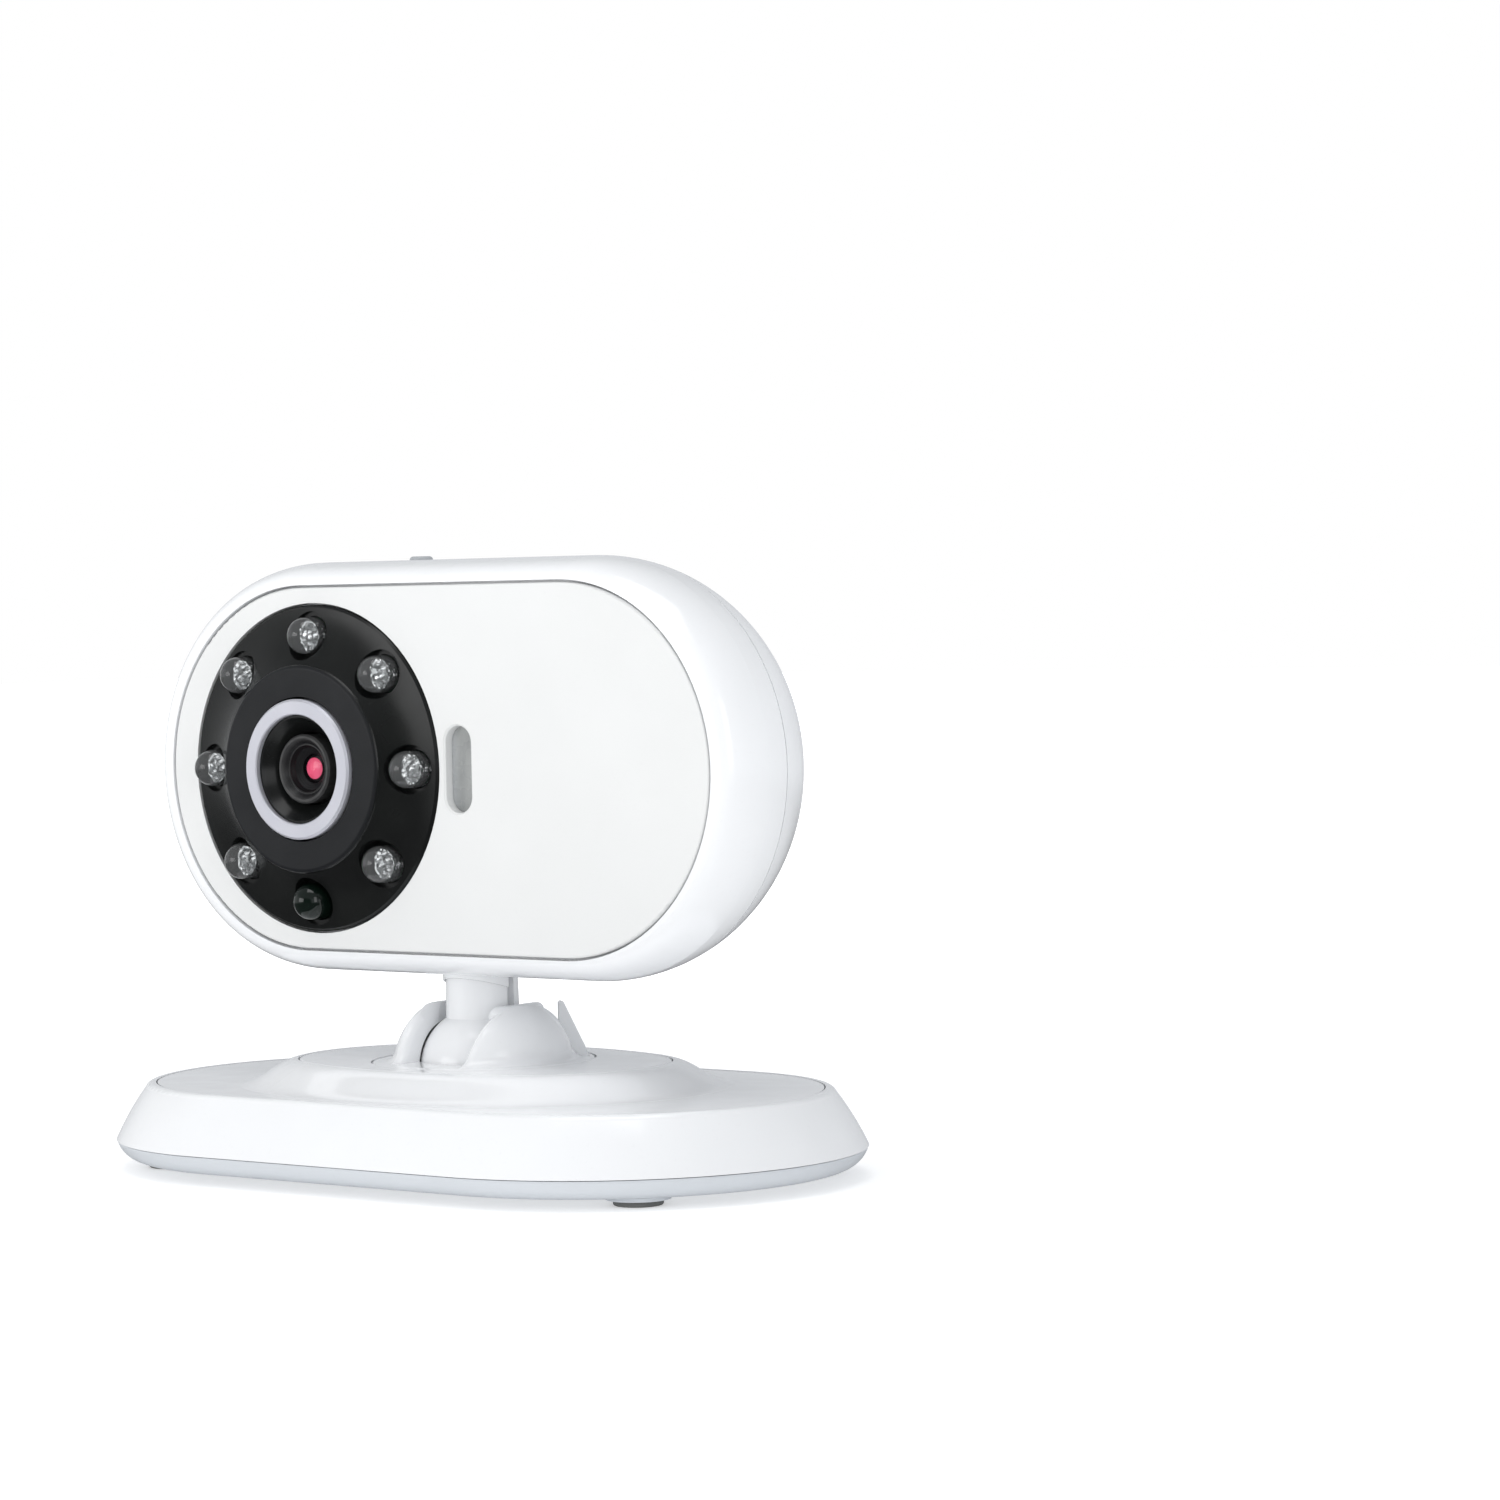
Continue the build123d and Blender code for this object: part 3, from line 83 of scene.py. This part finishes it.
class Wiring:
    """Short names for building a node tree; values run through it as node outputs."""

    def __init__(self, tree):
        self.nodes = tree.nodes
        self.links = tree.links

    def plug(self, socket, value):
        """Wire an output to a socket, or set the socket to a number or a colour."""
        if isinstance(value, bpy.types.NodeSocket):
            self.links.new(value, socket)
        elif isinstance(value, tuple):
            socket.default_value = (*value, 1.0)
        else:
            socket.default_value = value

    def spread(self, value, low, high, start=0.3, end=0.7):
        """A value's range start..end carried smoothly to low..high."""
        node = self.nodes.new("ShaderNodeMapRange")
        node.interpolation_type = "SMOOTHSTEP"
        for socket, number in (("From Min", start), ("From Max", end), ("To Min", low), ("To Max", high)):
            node.inputs[socket].default_value = number
        self.plug(node.inputs["Value"], value)
        return node.outputs["Result"]

    def math(self, kind, first, second=0.0):
        node = self.nodes.new("ShaderNodeMath")
        node.operation = kind
        self.plug(node.inputs[0], first)
        self.plug(node.inputs[1], second)
        return node.outputs[0]

    def blend(self, factor, first, second):
        """Colour that goes from `first` to `second`; each is a colour or another node's output."""
        node = self.nodes.new("ShaderNodeMix")
        node.data_type = "RGBA"
        self.plug(node.inputs["Factor"], factor)
        self.plug(node.inputs[6], first)
        self.plug(node.inputs[7], second)
        return node.outputs[2]

    def along(self, place, direction):
        """How far a vector points along a direction."""
        node = self.nodes.new("ShaderNodeVectorMath")
        node.operation = "DOT_PRODUCT"
        node.inputs[1].default_value = direction
        self.links.new(place, node.inputs[0])
        return node.outputs["Value"]


class Recipe(Wiring):
    """One Principled material under construction."""

    def __init__(self, name):
        self.material = bpy.data.materials.new(name)
        self.material.use_nodes = True
        super().__init__(self.material.node_tree)
        self.shader = self.nodes["Principled BSDF"]
        self.place = self.nodes.new("ShaderNodeTexCoord").outputs["Object"]

    def set(self, **values):
        for socket, value in values.items():
            self.shader.inputs[socket.replace("_", " ").title().replace("Ior", "IOR")].default_value = value

    def noise(self, size, stretch=(1, 1, 1), detail=3.0):
        """Noise whose features are about `size` mm across."""
        mapping = self.nodes.new("ShaderNodeMapping")
        mapping.inputs["Scale"].default_value = stretch
        self.links.new(self.place, mapping.inputs["Vector"])
        node = self.nodes.new("ShaderNodeTexNoise")
        node.inputs["Scale"].default_value = 1000.0 / size
        node.inputs["Detail"].default_value = detail
        self.links.new(mapping.outputs["Vector"], node.inputs["Vector"])
        return node.outputs["Fac"]

    def radius(self, axes, centre):
        """Distance in metres from a line through minus `centre`; `axes` has 0 for the line's own axis."""
        shift = self.nodes.new("ShaderNodeVectorMath")
        shift.operation = "MULTIPLY_ADD"
        shift.inputs[1].default_value = axes
        shift.inputs[2].default_value = centre
        self.links.new(self.place, shift.inputs[0])
        length = self.nodes.new("ShaderNodeVectorMath")
        length.operation = "LENGTH"
        self.links.new(shift.outputs[0], length.inputs[0])
        return length.outputs["Value"]

    def lens_radius(self):
        """Distance from the lens axis, in metres."""
        return self.radius((1, 0, 1), (-LENS.x, 0, -LENS.z))

    def relief(self, height, depth, strength=1.0):
        """Bump from a height, `depth` mm from its lowest to its highest."""
        bump = self.nodes.new("ShaderNodeBump")
        bump.inputs["Distance"].default_value = depth / 1000.0
        bump.inputs["Strength"].default_value = strength
        self.links.new(height, bump.inputs["Height"])
        self.links.new(bump.outputs["Normal"], self.shader.inputs["Normal"])

    def colour(self, output):
        self.links.new(output, self.shader.inputs["Base Color"])

    def roughness(self, output):
        self.links.new(output, self.shader.inputs["Roughness"])


def tinted(colour, amount):
    return tuple(min(1.0, c * amount) for c in colour)


def moulded(name, colour, rough, grain, depth, mottle=0.03, **values):
    """Moulded plastic: faint flow mottling, a fine surface grain and handling marks in the gloss."""
    recipe = Recipe(name)
    flow = recipe.noise(14.0, detail=2.0)
    speck = recipe.noise(0.6)
    darker, paler = tinted(colour, 1 - mottle), tinted(colour, 1 + mottle / 2)
    shade = recipe.blend(recipe.spread(flow, 0, 1), darker, paler)
    recipe.colour(recipe.blend(recipe.spread(speck, 0, 0.25, 0.6, 0.75), shade, tinted(colour, 0.93)))
    recipe.roughness(recipe.spread(recipe.noise(6.0), rough * 0.92, rough * 1.1))
    recipe.relief(recipe.noise(grain, detail=2.0), depth)
    recipe.set(**values)
    return recipe.material


def metal(name, colour, rough, stretch=(1, 1, 12), **values):
    """Worked metal: short drawn lines, with patches of duller plating."""
    recipe = Recipe(name)
    lines = recipe.noise(0.5, stretch)
    patch = recipe.noise(3.0)
    recipe.colour(recipe.blend(recipe.spread(patch, 0, 1), tinted(colour, 0.86), colour))
    recipe.roughness(recipe.spread(lines, rough * 0.7, rough * 1.4))
    recipe.relief(lines, 0.004)
    recipe.set(metallic=1.0, **values)
    return recipe.material


def bezel_material():
    """Gloss black cove and lens well, with a satin dark-grey collar between them."""
    recipe = Recipe("bezel_black")
    radius = recipe.lens_radius()
    outer = recipe.spread(radius, 1, 0, *COLLAR_OUTER_EDGE)
    inner = recipe.spread(radius, 0, 1, *COLLAR_INNER_EDGE)
    collar = recipe.math("MULTIPLY", outer, inner)
    grain = recipe.noise(0.25, detail=4.0)
    flow = recipe.noise(9.0, detail=2.0)
    collar_shade = recipe.blend(recipe.spread(flow, 0, 1), (0.008, 0.009, 0.011), (0.012, 0.013, 0.015))
    gloss_shade = recipe.blend(recipe.spread(flow, 0, 1), (0.006, 0.0065, 0.0065), (0.009, 0.010, 0.0095))
    recipe.colour(recipe.blend(collar, gloss_shade, collar_shade))
    marks = recipe.spread(recipe.noise(5.0, detail=4.0), 0.0, 0.05)
    recipe.roughness(recipe.math("ADD", recipe.spread(collar, 0.2, 0.42, 0, 1), marks))
    recipe.relief(recipe.math("MULTIPLY", grain, recipe.spread(collar, 0.1, 1, 0, 1)), 0.012)
    recipe.set(specular_ior_level=0.32)
    return recipe.material


def window_material(low, high):
    """Grey light guide: paler along its rim as a painted highlight, and darker down the middle as painted shade
    in the recess.
    """
    recipe = Recipe("light_grey")
    centre = (low.x + high.x) / 2
    half = (high.x - low.x) / 2
    offset = recipe.math("SUBTRACT", recipe.along(recipe.place, (1, 0, 0)), centre)
    across = recipe.math("ABSOLUTE", offset)
    # Painted highlight towards the rim and painted shade down the middle of the window.
    rim = recipe.spread(across, 0, 1, half * 0.2, half * 0.95)
    cloud = recipe.noise(2.2, (1, 1, 0.35))
    painted_shade_middle = recipe.blend(recipe.spread(cloud, 0, 1), (0.25, 0.26, 0.26), (0.33, 0.34, 0.335))
    recipe.colour(recipe.blend(rim, painted_shade_middle, (0.50, 0.52, 0.54)))
    recipe.roughness(recipe.spread(recipe.noise(1.5), 0.22, 0.34))
    recipe.relief(recipe.noise(0.5), 0.006)
    recipe.set(coat_weight=0.6, coat_roughness=0.08)
    return recipe.material


def glass_material():
    """Coated front element: pink coating over the clear aperture and a blackened rim."""
    recipe = Recipe("lens_glass")
    radius = recipe.lens_radius()
    tint = recipe.blend(recipe.spread(recipe.noise(1.4), 0, 0.6), (0.90, 0.085, 0.19), (0.93, 0.17, 0.30))
    rim = recipe.spread(radius, 0, 1, *GLASS_COATING_EDGE)
    recipe.colour(recipe.blend(rim, tint, (0.006, 0.005, 0.006)))
    recipe.roughness(recipe.spread(recipe.noise(0.6), 0.12, 0.2))
    recipe.relief(recipe.noise(1.0), 0.002)
    recipe.set(coat_weight=0.3, coat_roughness=0.04)
    return recipe.material


def barrel_material():
    """Matt black barrel with fine turned rings, greyer on the front rings where the finish is rubbed."""
    recipe = Recipe("lens_black")
    radius = recipe.lens_radius()
    rings = recipe.math("SINE", recipe.math("MULTIPLY", radius, BARREL_RING_PITCH))
    rubbed = recipe.spread(radius, 0, 1, *BARREL_RUBBED_EDGE)
    worn = recipe.blend(recipe.spread(recipe.noise(1.2), 0, 1), (0.040, 0.040, 0.041), (0.055, 0.055, 0.055))
    recipe.colour(recipe.blend(rubbed, (0.008, 0.008, 0.009), worn))
    recipe.roughness(recipe.spread(recipe.noise(1.0), 0.34, 0.48))
    recipe.relief(rings, 0.01, 0.5)
    return recipe.material


def silver_material():
    """Satin silver ring: fine blasted grain, slightly duller where it has been handled."""
    recipe = Recipe("trim_silver")
    worn = recipe.spread(recipe.noise(4.0), 0, 1)
    recipe.colour(recipe.blend(worn, (0.66, 0.665, 0.73), (0.70, 0.705, 0.765)))
    recipe.roughness(recipe.spread(recipe.noise(2.0), 0.40, 0.48))
    recipe.relief(recipe.noise(0.12), 0.004)
    recipe.set(metallic=0.55)
    return recipe.material


def clear_material(name, colour, rough):
    """Water-clear cast resin with faint flow lines, so the metal inside shows through it."""
    recipe = Recipe(name)
    recipe.colour(recipe.blend(recipe.spread(recipe.noise(2.0), 0, 1), tinted(colour, 0.97), colour))
    recipe.roughness(recipe.spread(recipe.noise(1.0), rough, rough + 0.03))
    recipe.relief(recipe.noise(1.6), 0.006)
    recipe.set(transmission_weight=0.93, ior=1.5)
    return recipe.material


def ribbon_material():
    """Amber flex with copper tracks running along it."""
    recipe = Recipe("flex_amber")
    height = recipe.along(recipe.place, (0, 0, 1))
    tracks = recipe.math("SINE", recipe.math("MULTIPLY", height, RIBBON_TRACK_PITCH))
    stripe = recipe.spread(tracks, 0, 1, -0.2, 0.2)
    recipe.colour(recipe.blend(stripe, (0.55, 0.27, 0.06), (0.70, 0.40, 0.14)))
    recipe.roughness(recipe.spread(recipe.noise(2.0), 0.28, 0.42))
    recipe.relief(tracks, 0.02)
    return recipe.material


def board_material():
    """Solder mask over a faint pattern of tracks, with tinned pads."""
    recipe = Recipe("board_green")
    cells = recipe.nodes.new("ShaderNodeTexVoronoi")
    cells.distance = "MANHATTAN"
    cells.inputs["Scale"].default_value = BOARD_CELL_SCALE
    recipe.links.new(recipe.place, cells.inputs["Vector"])
    pads = recipe.spread(cells.outputs["Distance"], 1, 0, 0.10, 0.16)
    track = recipe.spread(recipe.noise(3.0), 0, 1, 0.45, 0.52)
    mask = recipe.blend(track, (0.02, 0.12, 0.05), (0.03, 0.18, 0.07))
    recipe.colour(recipe.blend(pads, mask, (0.62, 0.60, 0.52)))
    recipe.roughness(recipe.spread(recipe.noise(2.0), 0.25, 0.4))
    recipe.relief(pads, 0.03)
    return recipe.material


LENS = sum((Vector(corner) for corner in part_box("lens_barrel")), Vector()) / 2
PILL = [Vector(corner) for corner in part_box("status_light_pipe")]

SHELL = (0.885, 0.895, 0.91)
FINISHES = {
    "shell_white": moulded("shell_white", SHELL, 0.16, 2.2, 0.001, mottle=0.012, coat_weight=0.35,
                           coat_roughness=0.05),
    "panel_white": moulded("panel_white", (0.775, 0.782, 0.778), 0.42, 0.22, 0.010, mottle=0.012),
    "base_grey": moulded("base_grey", (0.66, 0.69, 0.725), 0.35, 0.5, 0.003, mottle=0.012),
    "steel_plate": metal("steel_plate", (0.55, 0.55, 0.56), 0.4),
    "foot_rubber": moulded("foot_rubber", (0.16, 0.165, 0.16), 0.75, 0.3, 0.05, mottle=0.12),
    "screw_steel": metal("screw_steel", (0.56, 0.56, 0.57), 0.3),
    "spring_steel": metal("spring_steel", (0.6, 0.6, 0.61), 0.25),
    "pad_white": moulded("pad_white", (0.86, 0.86, 0.83), 0.4, 0.4, 0.01),
    "bezel_black": bezel_material(),
    "trim_silver": silver_material(),
    "lens_black": barrel_material(),
    "lens_glass": glass_material(),
    "board_green": board_material(),
    "chip_dark": moulded("chip_dark", (0.05, 0.05, 0.055), 0.5, 0.15, 0.02, mottle=0.1),
    "chip_white": moulded("chip_white", (0.85, 0.84, 0.78), 0.45, 0.2, 0.01),
    "lamp_clear": clear_material("lamp_clear", (0.86, 0.88, 0.89), 0.015),
    "sensor_dark": moulded("sensor_dark", (0.003, 0.007, 0.005), 0.07, 1.5, 0.002),
    "light_grey": window_material(*PILL),
    "shield_tin": metal("shield_tin", (0.70, 0.70, 0.68), 0.3),
    "flex_amber": ribbon_material(),
    "button_grey": moulded("button_grey", (0.46, 0.48, 0.50), 0.36, 0.3, 0.012),
    "speaker_dark": moulded("speaker_dark", (0.05, 0.05, 0.055), 0.6, 0.4, 0.05, mottle=0.1),
    "jack_black": moulded("jack_black", (0.035, 0.035, 0.04), 0.42, 0.25, 0.02, mottle=0.1),
}

for name, piece in nodes.items():
    slots = piece.data.materials
    slot = slots[0].name.split(".")[0] if slots else ""
    if slot not in FINISHES:
        raise ValueError("no finish for " + name + ": " + slot)
    for index in range(len(slots)):
        slots[index] = FINISHES[slot]

# ------------------------------------------------------------------ metal inside the lamps
MM = 0.001
FLANGE = 2.8 * MM
DOME = 2.5 * MM
CUP_FACETS = 9
CUP_RINGS = [(0.4, 1.9), (1.10, 0.75), (1.25, 0.75), (0.85, 2.4)]
LAMP_SPOTS = 8
SENSOR_SPOT = 6

lamp_low, lamp_high = (Vector(corner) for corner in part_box("ir_leds"))
circle_radius = (lamp_high.x - lamp_low.x) / 2 - FLANGE
dome_y = lamp_low.y + DOME


def lathe(mesh, rings, centre, facets):
    """Skin a list of (radius, depth) rings round an axis along Y, with flat facets."""
    loops = []
    for radius, depth in rings:
        turn = [2 * math.pi * i / facets for i in range(facets)]
        loops.append(
            [mesh.verts.new(centre + Vector((radius * math.cos(t), depth, radius * math.sin(t)))) for t in turn]
        )
    for inner, outer in zip(loops, loops[1:]):
        for i in range(facets):
            j = (i + 1) % facets
            mesh.faces.new((inner[i], inner[j], outer[j], outer[i]))
    mesh.faces.new(loops[0][::-1])
    mesh.faces.new(loops[-1])


def bar(mesh, near, far, near_size, far_size):
    """Tapered square bar between two places, sized at each end in X and Z."""
    ends = []
    for spot, (w, h) in ((near, near_size), (far, far_size)):
        corners = [(-w, -h), (w, -h), (w, h), (-w, h)]
        ends.append([mesh.verts.new(spot + Vector((x / 2, 0, z / 2))) for x, z in corners])
    for i in range(4):
        j = (i + 1) % 4
        mesh.faces.new((ends[0][i], ends[0][j], ends[1][j], ends[1][i]))
    mesh.faces.new(ends[0][::-1])
    mesh.faces.new(ends[1])


def piece_from(mesh, name, finish):
    """Turn a bmesh into a piece that rides on the head."""
    bmesh.ops.recalc_face_normals(mesh, faces=mesh.faces)
    data = bpy.data.meshes.new(name)
    mesh.to_mesh(data)
    mesh.free()
    piece = bpy.data.objects.new(name, data)
    scene.collection.objects.link(piece)
    data.materials.append(finish)
    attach(piece, "head")


frames, dice = bmesh.new(), bmesh.new()
for step in range(LAMP_SPOTS):
    if step == SENSOR_SPOT:
        continue
    angle = 2 * math.pi * step / LAMP_SPOTS
    x, z = circle_radius * math.cos(angle), circle_radius * math.sin(angle)
    centre = Vector((LENS.x + x, dome_y, LENS.z + z))
    lathe(frames, [(radius * MM, depth * MM) for radius, depth in CUP_RINGS], centre, CUP_FACETS)
    anvil = centre + Vector((-0.35 * MM, 2.4 * MM, 0))
    bar(frames, anvil, anvil + Vector((0, 3.2 * MM, 0)), (1.7 * MM, 0.8 * MM), (0.5 * MM, 0.5 * MM))
    post = centre + Vector((1.65 * MM, 1.4 * MM, 0))
    bar(frames, post, post + Vector((-0.1 * MM, 4.1 * MM, 0)), (0.6 * MM, 0.5 * MM), (0.5 * MM, 0.5 * MM))
    bar(dice, centre + Vector((0, 1.5 * MM, 0)), centre + Vector((0, 1.8 * MM, 0)), (0.4 * MM, 0.4 * MM),
        (0.45 * MM, 0.45 * MM))


def lead_frame_material():
    """Bright plated lead frame with a hammered bump, and painted glints: near white at the middle of each
    hammer dent, dull grey towards its rim.
    """
    recipe = Recipe("lead_frame")
    cells = recipe.nodes.new("ShaderNodeTexVoronoi")
    cells.inputs["Scale"].default_value = HAMMER_SCALE
    recipe.links.new(recipe.place, cells.inputs["Vector"])
    spot = recipe.spread(cells.outputs["Distance"], 0, 1, 0.2, 0.7)
    # Painted glints: the colour is near white at the middle of each hammer dent and dull grey towards its rim.
    recipe.colour(recipe.blend(spot, (0.97, 0.97, 0.97), (0.42, 0.43, 0.43)))
    recipe.roughness(recipe.spread(recipe.noise(0.4), 0.1, 0.25))
    recipe.relief(spot, 0.12)
    recipe.set(metallic=1.0)
    return recipe.material


LEAD_FRAME = lead_frame_material()
piece_from(frames, "lamp_frames", LEAD_FRAME)
piece_from(dice, "lamp_dice", FINISHES["chip_dark"])

# ------------------------------------------------------------------ studio
scene.view_settings.view_transform = "Standard"
FLOOR_HALF = 3.0
FLOOR_GLOW = (0.40, 1.0)
FLOOR_GLOW_EDGE = (0.11, 0.5)

floor_mesh = bpy.data.meshes.new("floor")
corners = [(x * FLOOR_HALF, y * FLOOR_HALF, 0) for x, y in ((-1, -1), (1, -1), (1, 1), (-1, 1))]
floor_mesh.from_pydata(corners, [], [(0, 1, 2, 3)])
floor = bpy.data.objects.new("floor", floor_mesh)
scene.collection.objects.link(floor)
floor_recipe = Recipe("floor_pale")
floor_recipe.colour(floor_recipe.blend(floor_recipe.noise(300.0), (0.76, 0.765, 0.77), (0.78, 0.78, 0.78)))
floor_recipe.set(roughness=0.9, specular_ior_level=0.0, emission_color=(1, 1, 1, 1))
# The floor glows less round the object, so its contact shadow shows.
from_middle = floor_recipe.radius((1, 1, 0), (0, 0, 0))
glow = floor_recipe.spread(from_middle, *FLOOR_GLOW, *FLOOR_GLOW_EDGE)
floor_recipe.plug(floor_recipe.shader.inputs["Emission Strength"], glow)
floor.data.materials.append(floor_recipe.material)
floor.visible_glossy = False

# The backdrop is white and lights the object evenly. Reflections see a white wall all round, with a dark
# opening at the front, a dark floor and a dim ceiling, as in a small product studio.
world = bpy.data.worlds.new("studio")
scene.world = world
world.use_nodes = True
sky = Wiring(world.node_tree)
way = sky.nodes.new("ShaderNodeTexCoord").outputs["Generated"]
height = sky.along(way, (0, 0, 1))
front = sky.along(way, Vector((0.18, -0.98, 0.0)).normalized())
side = sky.along(way, Vector((-0.80, -0.60, 0.0)).normalized())
wall = sky.blend(sky.spread(side, 0, 1, 0.3, 0.9), (0.56, 0.575, 0.60), (0.60, 0.61, 0.62))
opening = sky.blend(sky.spread(front, 0, 1, 0.78, 0.92), wall, (0.05, 0.052, 0.055))
ceiling = sky.blend(sky.spread(height, 0, 1, 0.2, 0.5), opening, (0.32, 0.33, 0.34))
reflected = sky.blend(sky.spread(height, 1, 0, -0.16, -0.03), ceiling, (0.10, 0.10, 0.105))
facing = sky.along(way, Vector((-0.45, -0.85, 0.25)).normalized())
diffuse = sky.blend(sky.spread(facing, 0, 1, -0.9, 0.9), (0.40, 0.415, 0.44), (0.84, 0.845, 0.85))
ray = sky.nodes.new("ShaderNodeLightPath")
lighting = sky.blend(ray.outputs["Is Glossy Ray"], diffuse, reflected)
backdrop = sky.blend(ray.outputs["Is Camera Ray"], lighting, (1.0, 1.0, 1.0))
sky.plug(sky.nodes["Background"].inputs["Color"], backdrop)


def softbox(name, spot, width, height, power, aim=(0, 0, 0.05)):
    """Rectangular soft light, turned towards the object."""
    data = bpy.data.lights.new(name, "AREA")
    data.shape = "RECTANGLE"
    data.size, data.size_y = width, height
    data.energy = power
    lamp = bpy.data.objects.new(name, data)
    lamp.location = spot
    lamp.rotation_euler = (Vector(aim) - Vector(spot)).to_track_quat("-Z", "Y").to_euler()
    scene.collection.objects.link(lamp)


softbox("key", (-0.60, -1.20, 0.26), 0.8, 0.45, 2.35)
softbox("fill", (1.1, -0.45, 0.35), 0.35, 0.7, 1.3)
softbox("top", (0.1, -0.2, 1.3), 0.8, 0.8, 4.2)
